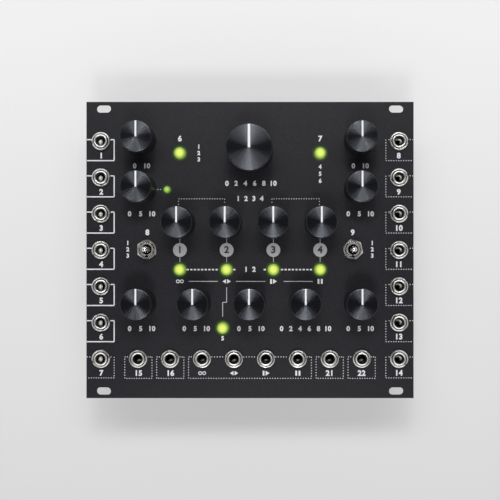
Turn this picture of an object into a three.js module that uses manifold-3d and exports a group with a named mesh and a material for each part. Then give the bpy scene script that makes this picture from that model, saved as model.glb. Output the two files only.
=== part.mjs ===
// A tape delay module for a synthesizer rack: a black front panel that carries
// turned knobs, lit push buttons, toggle switches and jack sockets, with two
// circuit boards and a power header behind it.
//
// Millimetres. X runs to the right and Y up the panel as it is read, Z out of
// its front. The module lies on its back: Z = 0 is the mouth of the power
// header, and X = Y = 0 is the centre of the panel.
import * as THREE from 'three';
import { mergeVertices } from 'three/addons/utils/BufferGeometryUtils.js';
import Module from 'manifold-3d';

const wasm = await Module();
wasm.setup();

// Front panel, 28 steps of 5.08 mm wide on the rack's grid
const panelWidth = 141.9;
const panelHeight = 128.5;
const panelThick = 2;
const slotLength = 6.25;
const slotWidth = 3.3;
const slotSideInset = 7.5;
const slotEdgeInset = 3;

// Stack behind the panel
const boardThick = 1.6;
const boardGap = 10;
const boardSpacing = 11;
const boardEdge = 1.2;
const seatGap = 0.1;
const holeClearance = 0.2;

// Columns of sockets, from the panel's edges
const sideJackInset = 6.45;
const sideJackEndInset = 17.15;
const bottomJackInset = 22.55;
const sideJackCount = 7;
const bottomJackCount = 8;

// Columns and rows of controls. A row is a share of half the panel's height, but
// the transport button's drop is a share of the way down to the bottom sockets.
const outerKnobInset = 17.1;
const outerKnobPitch = 21;
const controlColumns = 7;
const toggleXShare = 0.6272;
const topKnobShare = 0.739;
const speedKnobShare = 0.6677;
const topButtonShare = 0.6537;
const headKnobShare = 0.1805;
const toggleYShare = 0.0031;
const headButtonShare = -0.1323;
const toneKnobShare = -0.3565;
const transportDropShare = 0.450;
const levelLightOffset = 11.4;
const levelLightDrop = 0.25;

// Knobs and the potentiometers under them
const knobRadius = 6.85;
const knobFaceRadius = 6.4;
const speedKnobRadius = 10;
const speedKnobFaceRadius = 9.3;
const knobTop = 16.2;
const knobLift = 0.6;
const knobBevel = 0.5;
const knobWall = 0.75;
const pointerWidth = 1.08;
const speedPointerWidth = 1.4;
const pointerDepth = 0.35;
const pointerBack = 0.5;
const shaftRadius = 3;
const shaftClearance = 0.15;
const shaftEndGap = 0.3;
const bushingWall = 0.45;
const bushingRise = 2.6;
const bushingFloor = 1;
const potWidth = 9.5;
const potLength = 11.4;
const potHeight = 6.8;
const potNutFlats = 10;

// Lit push buttons and the tactile switches under them
const buttonRadius = 2.5;
const buttonTop = 2;
const buttonEdge = 0.5;
const buttonFlangeRadius = 3.2;
const buttonFlangeDrop = 0.3;
const buttonBoreRadius = 1.8;
const switchSize = 6;
const switchHeight = 3.5;
const plungerRadius = 1.5;
const plungerRise = 2.2;
const buttonTravel = 0.5;
const buttonEndGap = 0.2;

// Toggle switches
const toggleWidth = 6.9;
const toggleLength = 12.7;
const toggleBushingRadius = 3.15;
const toggleBushingRise = 3.6;
const toggleBoreRadius = 2.2;
const toggleNutFlats = 8;
const toggleNutThick = 2;
const toggleNutChamfer = 0.35;
const headsNutAngle = 30;
const panNutAngle = 42;
const threadClearance = 0.15;
const leverPivotRise = 1;
const leverBallRadius = 1.85;
const leverTailRadius = 0.8;
const leverTailLength = 3;
const leverNeckRadius = 1;
const leverTipRadius = 1.45;
const leverRise = 9.4;
const leverBoreDepth = 4.4;

// Jack sockets
const jackWidth = 9;
const jackLength = 10.5;
const jackBarrelRadius = 3;
const jackBoreRadius = 1.8;
const jackBoreDepth = 12;
const jackBarrelRise = 2.4;
const jackNutRadius = 3.9;
const jackNutThick = 1.7;

// Level light
const lightRadius = 1.5;
const lightRise = 1.1;
const lightFlangeRadius = 1.9;
const lightFlangeThick = 1;
const lightLeadWidth = 0.5;
const lightLeadPitch = 2.54;

// Main board, its connectors and its spacers
const pinSpacing = 2.54;
const pinWidth = 0.64;
const stackerWidth = 5;
const stackerPinCount = 16;
const stackerXShare = 0.62;
const spacerFlats = 5;
const screwRadius = 1.5;
const screwHeadRadius = 2.7;
const screwHeadHeight = 1.7;
const headerPinCount = 8;
const headerEndRoom = 10.1;
const headerWidth = 8.9;
const headerHeight = 9;
const headerWall = 1.1;
const headerFloor = 1.9;
const headerKeyWidth = 4.5;
const headerKeyDepth = 5.4;
const headerPinLength = 5.8;
const headerX = 0;
const headerY = 0;
const chipHeight = 1.5;
const canRadius = 3.15;
const canHeight = 5.4;
const cutOver = 1;

// Number of flat sides on the round pieces
const knobSides = 14;
const speedKnobSides = 18;
const bushingSides = 10;
const jackSides = 12;
const smallSides = 10;
const screwSides = 8;
const hiddenSides = 8;
const nutSides = 6;

// Heights of the stack, from the mouth of the power header
const mainRear = headerHeight + seatGap;
const mainFront = mainRear + boardThick;
const controlRear = mainFront + boardSpacing;
const controlFront = controlRear + boardThick;
const panelRear = controlFront + boardGap;
const panelFront = panelRear + panelThick;

// Places that follow the panel
const halfWidth = panelWidth / 2;
const halfHeight = panelHeight / 2;
const sideJackX = halfWidth - sideJackInset;
const sideJackPitch = 2 * (halfHeight - sideJackEndInset) / (sideJackCount - 1);
const bottomJackY = sideJackEndInset - halfHeight;
const bottomJackPitch = 2 * (halfWidth - bottomJackInset) / (bottomJackCount - 1);
const controlPitch = panelWidth / controlColumns;
const outerKnobX = sideJackX - outerKnobInset;
const toneKnobX = outerKnobX / 2;
const topKnobY = topKnobShare * halfHeight;
const secondKnobY = topKnobY - outerKnobPitch;
const speedKnobY = speedKnobShare * halfHeight;
const headKnobY = headKnobShare * halfHeight;
const toneKnobY = toneKnobShare * halfHeight;
const topButtonX = 1.5 * controlPitch;
const topButtonY = topButtonShare * halfHeight;
const headButtonY = headButtonShare * halfHeight;
const transportX = -toneKnobX / 2;
const transportY = toneKnobY + transportDropShare * (bottomJackY - toneKnobY);
const toggleX = toggleXShare * halfWidth;
const toggleY = toggleYShare * halfHeight;
const levelLightX = levelLightOffset - outerKnobX;
const levelLightY = secondKnobY - levelLightDrop;
const boardHalfWidth = sideJackX + jackWidth / 2 + boardEdge;
const boardHalfHeight = -bottomJackY + jackLength / 2 + boardEdge;
const spacerX = (outerKnobX + sideJackX) / 2;
const spacerY = 2.5 * sideJackPitch;
const boreRadius = shaftRadius + shaftClearance;
const bushingRadius = boreRadius + bushingWall;

const black = new THREE.MeshStandardMaterial({ color: 0x2b2b2e, roughness: 0.5, metalness: 0.3 });
const anodised = new THREE.MeshStandardMaterial({ color: 0x17171a, roughness: 0.3, metalness: 0.9 });
const nickel = new THREE.MeshStandardMaterial({ color: 0xc9c8c2, roughness: 0.25, metalness: 1 });
const boardMask = new THREE.MeshStandardMaterial({ color: 0x16181c, roughness: 0.5, metalness: 0 });
const plastic = new THREE.MeshStandardMaterial({ color: 0x1b1b1d, roughness: 0.6, metalness: 0 });
const brass = new THREE.MeshStandardMaterial({ color: 0xb59a5b, roughness: 0.35, metalness: 1 });
const lit = new THREE.MeshStandardMaterial({ color: 0xb6e868, roughness: 0.4, metalness: 0 });

const group = new THREE.Group();

function addPiece(name, geometry, material, x, y, z) {
  const mesh = new THREE.Mesh(geometry, material);
  mesh.name = name;
  mesh.position.set(x, y, z);
  group.add(mesh);
  return mesh;
}

// Closed mesh with shared vertices, ready to be joined and cut
function solid(geometry) {
  const bare = geometry.clone();
  bare.deleteAttribute('normal');
  bare.deleteAttribute('uv');
  const welded = mergeVertices(bare);
  const corners = welded.index.array;
  const kept = [];
  for (let i = 0; i < corners.length; i += 3) {
    const [a, b, c] = [corners[i], corners[i + 1], corners[i + 2]];
    if (a !== b && b !== c && c !== a) {
      kept.push(a, b, c);
    }
  }
  return new wasm.Manifold(new wasm.Mesh({
    numProp: 3,
    vertProperties: new Float32Array(welded.attributes.position.array),
    triVerts: new Uint32Array(kept),
  }));
}

function geometryOf(manifold) {
  const mesh = manifold.getMesh();
  const geometry = new THREE.BufferGeometry();
  geometry.setAttribute('position', new THREE.BufferAttribute(mesh.vertProperties, 3));
  geometry.setIndex(new THREE.BufferAttribute(mesh.triVerts, 1));
  return geometry;
}

function join(solids) {
  return solids.reduce((whole, piece) => whole.add(piece));
}

// Radius of the corners of a polygon whose flats lie at the given radius
function cornerRadius(flatRadius, sides) {
  return flatRadius / Math.cos(Math.PI / sides);
}

// Solid of revolution about Z. The profile runs from the axis round the
// outside and back to the axis, as pairs of radius and height.
function turned(profile, sides) {
  const points = profile.map(([radius, height]) => new THREE.Vector2(radius, height));
  return solid(new THREE.LatheGeometry(points, sides).rotateX(Math.PI / 2));
}

function cylinder(radius, low, high, sides) {
  return turned([[0, low], [radius, low], [radius, high], [0, high]], sides);
}

function hole(radius, low, high, sides) {
  return cylinder(cornerRadius(radius, sides), low, high, sides);
}

function block(width, length, low, high) {
  const box = new THREE.BoxGeometry(width, length, high - low);
  return solid(box.translate(0, 0, (low + high) / 2));
}

function hexagon(flats, low, high, angle) {
  const prism = cylinder(cornerRadius(flats / 2, nutSides), low, high, nutSides);
  return prism.rotate([0, 0, angle]);
}

function ringPoints(x, y, radius, sides) {
  const corner = cornerRadius(radius, sides);
  const points = [];
  for (let i = 0; i < sides; i += 1) {
    const angle = 2 * Math.PI * i / sides;
    points.push(new THREE.Vector2(x + corner * Math.cos(angle), y + corner * Math.sin(angle)));
  }
  return points;
}

// Knobs: name, centre and whether it is the large one
const knobPlaces = [
  { name: 'dry', x: -outerKnobX, y: topKnobY },
  { name: 'record_level', x: -outerKnobX, y: secondKnobY },
  { name: 'speed', x: 0, y: speedKnobY, large: true },
  { name: 'wet', x: outerKnobX, y: topKnobY },
  { name: 'repeats', x: outerKnobX, y: secondKnobY },
  { name: 'head_1', x: -1.5 * controlPitch, y: headKnobY },
  { name: 'head_2', x: -controlPitch / 2, y: headKnobY },
  { name: 'head_3', x: controlPitch / 2, y: headKnobY },
  { name: 'head_4', x: 1.5 * controlPitch, y: headKnobY },
  { name: 'low_cut', x: -outerKnobX, y: toneKnobY },
  { name: 'tape_age', x: -toneKnobX, y: toneKnobY },
  { name: 'crinkle', x: 0, y: toneKnobY },
  { name: 'wow_flutter', x: toneKnobX, y: toneKnobY },
  { name: 'spring', x: outerKnobX, y: toneKnobY },
];

const buttonPlaces = [
  { name: 'modes', x: -topButtonX, y: topButtonY },
  { name: 'tap', x: topButtonX, y: topButtonY },
  { name: 'head_1', x: -1.5 * controlPitch, y: headButtonY },
  { name: 'head_2', x: -controlPitch / 2, y: headButtonY },
  { name: 'head_3', x: controlPitch / 2, y: headButtonY },
  { name: 'head_4', x: 1.5 * controlPitch, y: headButtonY },
  { name: 'transport', x: transportX, y: transportY },
];

const togglePlaces = [
  { name: 'heads', x: -toggleX, y: toggleY, nutAngle: headsNutAngle },
  { name: 'pan', x: toggleX, y: toggleY, nutAngle: panNutAngle },
];

// Jacks down the two sides from the top, and along the bottom from the left
const leftJacks = ['left_in', 'right_in', 'left_out', 'right_out', 'send', 'return', 'clock_in'];
const rightJacks = [
  'speed_cv', 'wet_cv', 'repeats_cv', 'clock_1_out', 'clock_2_out', 'clock_3_out', 'clock_4_out',
];
const bottomJacks = ['record', 'shift', 'infinity', 'reverse', 'play', 'pause', 'tap', 'spring'];

function jackPlaces() {
  const places = [];
  for (let i = 0; i < sideJackCount; i += 1) {
    const y = sideJackPitch * ((sideJackCount - 1) / 2 - i);
    places.push({ name: leftJacks[i], x: -sideJackX, y });
    places.push({ name: rightJacks[i], x: sideJackX, y });
  }
  for (let i = 0; i < bottomJackCount; i += 1) {
    const x = bottomJackPitch * (i - (bottomJackCount - 1) / 2);
    places.push({ name: `${bottomJacks[i]}_gate`, x, y: bottomJackY });
  }
  return places;
}

// Front panel: a plate with a hole for every control and four rack slots
function slotPoints(x, y) {
  const points = [];
  const reach = (slotLength - slotWidth) / 2;
  for (let i = 0; i <= smallSides; i += 1) {
    const angle = -Math.PI / 2 + 2 * Math.PI * i / smallSides;
    const side = i <= smallSides / 2 ? 1 : -1;
    const across = slotWidth / 2;
    points.push(new THREE.Vector2(
      x + side * reach + across * Math.cos(angle),
      y + across * Math.sin(angle),
    ));
    if (i === smallSides / 2) {
      points.push(new THREE.Vector2(x - reach, y + across));
    }
  }
  return points;
}

function panelGeometry() {
  const outline = new THREE.Shape();
  outline.moveTo(-panelWidth / 2, -panelHeight / 2);
  outline.lineTo(panelWidth / 2, -panelHeight / 2);
  outline.lineTo(panelWidth / 2, panelHeight / 2);
  outline.lineTo(-panelWidth / 2, panelHeight / 2);
  outline.closePath();
  const cutRound = (place, radius, sides) => {
    const points = ringPoints(place.x, place.y, radius + holeClearance, sides);
    outline.holes.push(new THREE.Path(points));
  };
  for (const side of [-1, 1]) {
    for (const end of [-1, 1]) {
      const x = side * (panelWidth / 2 - slotSideInset);
      const y = end * (panelHeight / 2 - slotEdgeInset);
      outline.holes.push(new THREE.Path(slotPoints(x, y)));
    }
  }
  knobPlaces.forEach((place) => cutRound(place, bushingRadius, hiddenSides));
  buttonPlaces.forEach((place) => cutRound(place, buttonRadius, smallSides));
  togglePlaces.forEach((place) => cutRound(place, toggleBushingRadius, bushingSides));
  jackPlaces().forEach((place) => cutRound(place, jackBarrelRadius, jackSides));
  cutRound({ x: levelLightX, y: levelLightY }, lightRadius, smallSides);
  return new THREE.ExtrudeGeometry(outline, { depth: panelThick, bevelEnabled: false });
}

// Knob: a turned cap with a hollow skirt and the shaft that it is fixed to.
// Heights are from the front face of the panel.
function knobGeometry(radius, faceRadius, lineWidth, sides) {
  const shaftLow = shaftEndGap + bushingFloor + potHeight - boardGap - panelThick;
  const webLow = bushingRise + shaftEndGap;
  const skirtRadius = cornerRadius(radius - knobWall, sides);
  const cap = turned([
    [0, webLow],
    [skirtRadius, webLow],
    [skirtRadius, knobLift],
    [radius, knobLift],
    [radius, knobTop - knobBevel],
    [faceRadius, knobTop],
    [0, knobTop],
  ], sides);
  const body = cap.add(cylinder(shaftRadius, shaftLow, webLow + shaftEndGap, hiddenSides));
  const lineLength = radius + pointerBack + cutOver;
  const line = block(lineWidth, lineLength, knobTop - pointerDepth, knobTop + cutOver);
  return geometryOf(body.subtract(line.translate([0, lineLength / 2 - pointerBack, 0])));
}

// Button cap: a lit cap through the panel with a wider skirt that stops behind
// the panel and goes round the plunger. Heights are from the panel front.
function buttonGeometry() {
  const flangeTop = -panelThick - buttonFlangeDrop;
  const low = switchHeight + buttonTravel + buttonEndGap - boardGap - panelThick;
  const roof = switchHeight + plungerRise + buttonTravel + buttonEndGap - boardGap - panelThick;
  const bore = cornerRadius(buttonBoreRadius, smallSides);
  return geometryOf(turned([
    [0, roof],
    [bore, roof],
    [bore, low],
    [buttonFlangeRadius, low],
    [buttonFlangeRadius, flangeTop],
    [buttonRadius, flangeTop],
    [buttonRadius, buttonTop - buttonEdge],
    [buttonRadius - buttonEdge, buttonTop],
    [0, buttonTop],
  ], smallSides));
}

// Jack: a plastic housing, its threaded barrel, the round nut that clamps it
// and the bore for the plug. Heights are from the panel front.
function jackGeometry() {
  const housingTop = -panelThick - seatGap;
  const housingLow = seatGap - panelThick - boardGap;
  const metal = turned([
    [0, housingTop - seatGap],
    [jackBarrelRadius, housingTop - seatGap],
    [jackBarrelRadius, seatGap],
    [jackNutRadius, seatGap],
    [jackNutRadius, seatGap + jackNutThick],
    [jackBarrelRadius, seatGap + jackNutThick],
    [jackBarrelRadius, jackBarrelRise],
    [0, jackBarrelRise],
  ], jackSides);
  const bore = hole(jackBoreRadius, jackBarrelRise - jackBoreDepth, jackBarrelRise + cutOver, jackSides);
  const housing = block(jackWidth, jackLength, housingLow, housingTop);
  return geometryOf(housing.add(metal).subtract(bore));
}

// Toggle switch: housing and threaded bushing, nut, and the lever on its ball
function toggleBodyGeometry() {
  const top = toggleBushingRise;
  const housingTop = -panelThick - seatGap;
  const housingLow = seatGap - panelThick - boardGap;
  const housing = block(toggleWidth, toggleLength, housingLow, housingTop);
  const bushing = cylinder(toggleBushingRadius, housingTop - seatGap, top, bushingSides);
  const boreLow = leverPivotRise - leverBoreDepth;
  const bore = hole(toggleBoreRadius, boreLow, top + cutOver, bushingSides);
  return geometryOf(housing.add(bushing).subtract(bore));
}

function toggleNutGeometry(angle) {
  const low = seatGap;
  const top = low + toggleNutThick;
  const corner = cornerRadius(toggleNutFlats / 2, nutSides);
  const chamfer = turned([
    [0, low],
    [corner, low],
    [corner, top - toggleNutChamfer],
    [toggleNutFlats / 2, top],
    [0, top],
  ], knobSides);
  const nut = hexagon(toggleNutFlats, low, top, angle).intersect(chamfer);
  const threadRadius = toggleBushingRadius + threadClearance;
  return geometryOf(nut.subtract(hole(threadRadius, low - cutOver, top + cutOver, bushingSides)));
}

// Heights are from the centre of the ball
function leverGeometry() {
  const profile = [[0, -leverTailLength], [leverTailRadius, -leverTailLength]];
  const arcSteps = 3;
  const startAngle = -Math.acos(leverTailRadius / leverBallRadius);
  const endAngle = Math.acos(leverNeckRadius / leverBallRadius);
  for (let i = 0; i <= arcSteps; i += 1) {
    const angle = startAngle + (endAngle - startAngle) * i / arcSteps;
    profile.push([leverBallRadius * Math.cos(angle), leverBallRadius * Math.sin(angle)]);
  }
  for (let i = 0; i <= arcSteps; i += 1) {
    const angle = Math.PI / 2 * i / arcSteps;
    const radius = i === arcSteps ? 0 : leverTipRadius * Math.cos(angle);
    profile.push([radius, leverRise - leverTipRadius + leverTipRadius * Math.sin(angle)]);
  }
  return geometryOf(turned(profile, smallSides));
}

// Level light: a domed lamp in the panel on two leads from the control board
function lightGeometry() {
  const flangeTop = -panelThick - seatGap;
  const flangeLow = flangeTop - lightFlangeThick;
  const profile = [
    [0, flangeLow],
    [lightFlangeRadius, flangeLow],
    [lightFlangeRadius, flangeTop],
    [lightRadius, flangeTop],
  ];
  const arcSteps = 3;
  for (let i = 0; i <= arcSteps; i += 1) {
    const angle = Math.PI / 2 * i / arcSteps;
    const radius = i === arcSteps ? 0 : lightRadius * Math.cos(angle);
    profile.push([radius, lightRise * Math.sin(angle)]);
  }
  const leadLow = seatGap - panelThick - boardGap;
  const lead = block(lightLeadWidth, lightLeadWidth, leadLow, flangeLow + seatGap);
  return geometryOf(join([
    turned(profile, smallSides),
    lead.translate([-lightLeadPitch / 2, 0, 0]),
    lead.translate([lightLeadPitch / 2, 0, 0]),
  ]));
}

// Board outline with the four holes that the spacer screws pass through
function boardPlate() {
  const plate = block(2 * boardHalfWidth, 2 * boardHalfHeight, 0, boardThick);
  const holes = [];
  for (const x of [-spacerX, spacerX]) {
    for (const y of [-spacerY, spacerY]) {
      const cut = hole(screwRadius + holeClearance, -cutOver, boardThick + cutOver, screwSides);
      holes.push(cut.translate([x, y, 0]));
    }
  }
  return plate.subtract(join(holes));
}

// Potentiometer on the control board: housing, threaded bushing with the bore
// for the shaft, and the nut that clamps the panel
function potSolid() {
  const top = boardThick + boardGap + panelThick + bushingRise;
  const nutLow = boardThick + boardGap + panelThick + seatGap;
  const housingTop = boardThick + potHeight;
  const housing = block(potWidth, potLength, boardThick - seatGap, housingTop);
  const bushing = cylinder(bushingRadius, housingTop - seatGap, top, bushingSides);
  const nut = hexagon(potNutFlats, nutLow, top, 0);
  const bore = hole(boreRadius, housingTop + bushingFloor, top + cutOver, bushingSides);
  return housing.add(bushing).add(nut).subtract(bore);
}

function tactileSolid() {
  const top = boardThick + switchHeight;
  const base = block(switchSize, switchSize, boardThick - seatGap, top);
  return base.add(cylinder(plungerRadius, top - seatGap, top + plungerRise, hiddenSides));
}

function controlBoardGeometry() {
  const pieces = [boardPlate()];
  const pot = potSolid();
  const tactile = tactileSolid();
  knobPlaces.forEach((place) => pieces.push(pot.translate([place.x, place.y, 0])));
  buttonPlaces.forEach((place) => pieces.push(tactile.translate([place.x, place.y, 0])));
  return geometryOf(join(pieces));
}

// Main board: chips on the rear as shares of the board's half size, as
// width, length, centre in X and centre in Y
const chipShares = [
  [0.3, 0.38, -0.42, 0.2],
  [0.2, 0.3, 0.36, 0.34],
  [0.16, 0.2, 0.7, 0.1],
  [0.14, 0.14, -0.05, -0.55],
  [0.12, 0.24, -0.56, -0.62],
  [0.12, 0.24, 0.52, -0.6],
];
const canShares = [[0.22, -0.6], [0.33, -0.6], [-0.62, 0.72]];

function mainBoardGeometry() {
  const pieces = [boardPlate()];
  for (const [widthShare, lengthShare, xShare, yShare] of chipShares) {
    const width = widthShare * boardHalfWidth;
    const length = lengthShare * boardHalfHeight;
    const chip = block(width, length, -chipHeight, seatGap);
    pieces.push(chip.translate([xShare * boardHalfWidth, yShare * boardHalfHeight, 0]));
  }
  for (const [xShare, yShare] of canShares) {
    const can = cylinder(canRadius, -canHeight, seatGap, hiddenSides);
    pieces.push(can.translate([xShare * boardHalfWidth, yShare * boardHalfHeight, 0]));
  }
  return geometryOf(join(pieces));
}

// Stacking connector between the boards, with a groove along its middle
function stackerGeometry() {
  const length = stackerPinCount * pinSpacing;
  const low = seatGap;
  const high = boardSpacing - seatGap;
  const grooveDepth = pinWidth;
  const body = block(stackerWidth, length, low, high);
  const groove = block(stackerWidth + cutOver, length - 2 * pinSpacing, -grooveDepth / 2, grooveDepth / 2);
  const waist = groove.subtract(block(stackerWidth - 2 * grooveDepth, length, -cutOver, cutOver));
  return geometryOf(body.subtract(waist.translate([0, 0, (low + high) / 2])));
}

// Spacer: a hexagonal pillar with a screw through each board
function spacerGeometry() {
  const high = boardSpacing - seatGap;
  const pillar = hexagon(spacerFlats, seatGap, high, 0);
  const reach = boardThick + seatGap;
  const shank = cylinder(screwRadius, -reach - seatGap, boardSpacing + reach + seatGap, screwSides);
  const head = cylinder(screwHeadRadius, -reach - screwHeadHeight, -reach, screwSides);
  const upperHead = head.mirror([0, 0, 1]).translate([0, 0, boardSpacing]);
  return geometryOf(join([pillar, shank, head, upperHead]));
}

// Power header: a shrouded two-row header with its mouth down and a key slot
function headerGeometry() {
  const length = (headerPinCount - 1) * pinSpacing + headerEndRoom;
  const shell = block(length, headerWidth, 0, headerHeight);
  const roof = headerHeight - headerFloor;
  const cavity = block(length - 2 * headerWall, headerWidth - 2 * headerWall, -cutOver, roof);
  const key = block(headerKeyWidth, headerWall + cutOver, -cutOver, headerKeyDepth);
  const keyY = -headerWidth / 2 + headerWall / 2;
  const pieces = [shell.subtract(cavity).subtract(key.translate([0, keyY, 0]))];
  const pin = block(pinWidth, pinWidth, roof - headerPinLength, roof + seatGap);
  for (let i = 0; i < headerPinCount; i += 1) {
    const x = pinSpacing * (i - (headerPinCount - 1) / 2);
    pieces.push(pin.translate([x, -pinSpacing / 2, 0]));
    pieces.push(pin.translate([x, pinSpacing / 2, 0]));
  }
  return geometryOf(join(pieces));
}

function build() {
  addPiece('front_panel', panelGeometry(), black, 0, 0, panelRear);
  addPiece('control_board', controlBoardGeometry(), boardMask, 0, 0, controlRear);
  addPiece('main_board', mainBoardGeometry(), boardMask, 0, 0, mainRear);
  addPiece('power_header', headerGeometry(), plastic, headerX, headerY, 0);

  const stacker = stackerGeometry();
  const stackerX = boardHalfWidth * stackerXShare;
  addPiece('left_stacking_connector', stacker, plastic, -stackerX, 0, mainFront);
  addPiece('right_stacking_connector', stacker, plastic, stackerX, 0, mainFront);

  const spacer = spacerGeometry();
  let spacerNumber = 0;
  for (const y of [spacerY, -spacerY]) {
    for (const x of [-spacerX, spacerX]) {
      spacerNumber += 1;
      addPiece(`board_spacer_${spacerNumber}`, spacer, brass, x, y, mainFront);
    }
  }

  const knob = knobGeometry(knobRadius, knobFaceRadius, pointerWidth, knobSides);
  const speedKnob = knobGeometry(speedKnobRadius, speedKnobFaceRadius, speedPointerWidth, speedKnobSides);
  for (const place of knobPlaces) {
    const geometry = place.large ? speedKnob : knob;
    addPiece(`${place.name}_knob`, geometry, anodised, place.x, place.y, panelFront);
  }

  const button = buttonGeometry();
  for (const place of buttonPlaces) {
    addPiece(`${place.name}_button`, button, lit, place.x, place.y, panelFront);
  }

  const toggleBody = toggleBodyGeometry();
  const lever = leverGeometry();
  const pivotHeight = panelFront + leverPivotRise;
  for (const { name, x, y, nutAngle } of togglePlaces) {
    addPiece(`${name}_toggle_body`, toggleBody, nickel, x, y, panelFront);
    addPiece(`${name}_toggle_nut`, toggleNutGeometry(nutAngle), nickel, x, y, panelFront);
    addPiece(`${name}_toggle_lever`, lever, nickel, x, y, pivotHeight);
  }

  const jack = jackGeometry();
  for (const place of jackPlaces()) {
    addPiece(`${place.name}_jack`, jack, nickel, place.x, place.y, panelFront);
  }

  addPiece('record_level_light', lightGeometry(), lit, levelLightX, levelLightY, panelFront);
}

build();

export default group;
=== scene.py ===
import math
import random

import bmesh
import bpy
from mathutils import Matrix, Vector


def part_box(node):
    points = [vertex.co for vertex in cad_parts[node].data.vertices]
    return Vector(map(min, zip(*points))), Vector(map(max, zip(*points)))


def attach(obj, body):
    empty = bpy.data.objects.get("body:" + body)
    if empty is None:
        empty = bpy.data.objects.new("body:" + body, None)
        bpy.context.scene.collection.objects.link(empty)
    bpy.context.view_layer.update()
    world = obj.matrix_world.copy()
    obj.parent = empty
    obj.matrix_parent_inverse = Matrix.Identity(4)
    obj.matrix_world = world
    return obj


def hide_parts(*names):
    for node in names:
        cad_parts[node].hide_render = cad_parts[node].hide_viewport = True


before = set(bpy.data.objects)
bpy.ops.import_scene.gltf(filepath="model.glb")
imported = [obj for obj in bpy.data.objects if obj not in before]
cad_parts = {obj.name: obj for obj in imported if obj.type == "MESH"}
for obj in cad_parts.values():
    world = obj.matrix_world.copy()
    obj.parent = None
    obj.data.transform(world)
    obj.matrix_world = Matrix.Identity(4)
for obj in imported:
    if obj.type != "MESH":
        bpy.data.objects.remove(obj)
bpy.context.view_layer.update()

# Sizes are in millimetres with the axes of the CAD model: X to the right and Y
# up the panel, Z out of its front. MM turns them into metres.
MM = 0.001


def corners(node):
    """Lowest and highest corner of a CAD node, in millimetres."""
    low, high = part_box(node)
    return low / MM, high / MM


def centre(node):
    """Middle of a CAD node seen from the front, in millimetres."""
    low, high = corners(node)
    return (low.x + high.x) / 2, (low.y + high.y) / 2


def stems(suffix):
    """Names of the CAD nodes that end in a suffix, without it."""
    return [name.removesuffix(suffix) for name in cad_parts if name.endswith(suffix)]


PANEL_LOW, PANEL_HIGH = corners("front_panel")
PANEL_REAR = PANEL_LOW.z
PANEL_FRONT = PANEL_HIGH.z
BOARD_LOW, BOARD_HIGH = corners("control_board")
MAIN_LOW, MAIN_HIGH = corners("main_board")

KNOBS = stems("_knob")
BUTTONS = stems("_button")
JACKS = stems("_jack")
TOGGLES = ["heads", "pan"]
LEFT_JACKS = ["left_in", "right_in", "left_out", "right_out", "send", "return", "clock_in"]
RIGHT_JACKS = ["speed_cv", "wet_cv", "repeats_cv"] + [f"clock_{number}_out" for number in (1, 2, 3, 4)]
BOTTOM_JACKS = [
    f"{name}_gate"
    for name in ("record", "shift", "infinity", "reverse", "play", "pause", "tap", "spring")
]

# Heights from the panel's front that the parts behind it share
FOOT = -11.9
HOUSING_TOP = -2.1


# Materials

NOISE_SPAN = (0.3, 0.7)
BUMP_DEPTH = 0.1
QUARTER_TURN = 0.25
COLOUR_DETAIL = 3
BUMP_DETAIL = 2
GRAIN_SCALE = 22
GRAIN_DETAIL = 4
GRAIN_ROUGHNESS = (0.24, 0.36)
GRAIN_DEPTH = 0.02
GRAIN_TINT = (0.84, 0.88, 1, 1)
LIT_ROUGHNESS = 0.4
LIT_GLOSS = 0.2
SEAM_BLACK = (0.011, 0.012, 0.012)


def set_inputs(tree, node, inputs):
    """Values of a node's inputs. A value that is another node's output is linked."""
    for name, value in inputs.items():
        if isinstance(value, bpy.types.NodeSocket):
            tree.links.new(value, node.inputs[name])
        else:
            node.inputs[name].default_value = value


def add_node(tree, kind, inputs=None, **settings):
    """Outputs of a new shader node."""
    node = tree.nodes.new(f"ShaderNode{kind}")
    for name, value in settings.items():
        setattr(node, name, value)
    set_inputs(tree, node, inputs or {})
    return node.outputs


def coordinates(tree, kind="Object"):
    return add_node(tree, "TexCoord")[kind]


def split(tree, place):
    return add_node(tree, "SeparateXYZ", {"Vector": place})


def from_axis(tree, operation):
    """Direction (NORMALIZE) or distance (LENGTH) of a point from the Z axis of its object."""
    across = {0: coordinates(tree), 1: (1, 1, 0)}
    flat = add_node(tree, "VectorMath", across, operation="MULTIPLY")["Vector"]
    return add_node(tree, "VectorMath", {0: flat}, operation=operation)


def combine(tree, operation, first, second):
    return add_node(tree, "Math", {0: first, 1: second}, operation=operation)["Value"]


def ramp(tree, value, span, result=(0, 1), kind="LINEAR"):
    """Results between two ends, as a value goes through its span."""
    inputs = dict(zip(("Value", "From Min", "From Max", "To Min", "To Max"), (value, *span, *result)))
    return add_node(tree, "MapRange", inputs, interpolation_type=kind)["Result"]


def noise(tree, place, scale, detail):
    return add_node(tree, "TexNoise", {"Vector": place, "Scale": scale, "Detail": detail})["Fac"]


def relief(tree, height, strength, distance):
    inputs = {"Height": height, "Strength": strength, "Distance": distance}
    return add_node(tree, "Bump", inputs)["Normal"]


def blend(tree, share, first, second):
    """Colour between two, by a share from 0 to 1."""
    inputs = {"Factor": share, "A": (*first, 1), "B": (*second, 1)}
    return add_node(tree, "Mix", inputs, data_type="RGBA")["Result"]


def set_shader(made, inputs):
    set_inputs(made.node_tree, made.node_tree.nodes["Principled BSDF"], inputs)


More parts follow.
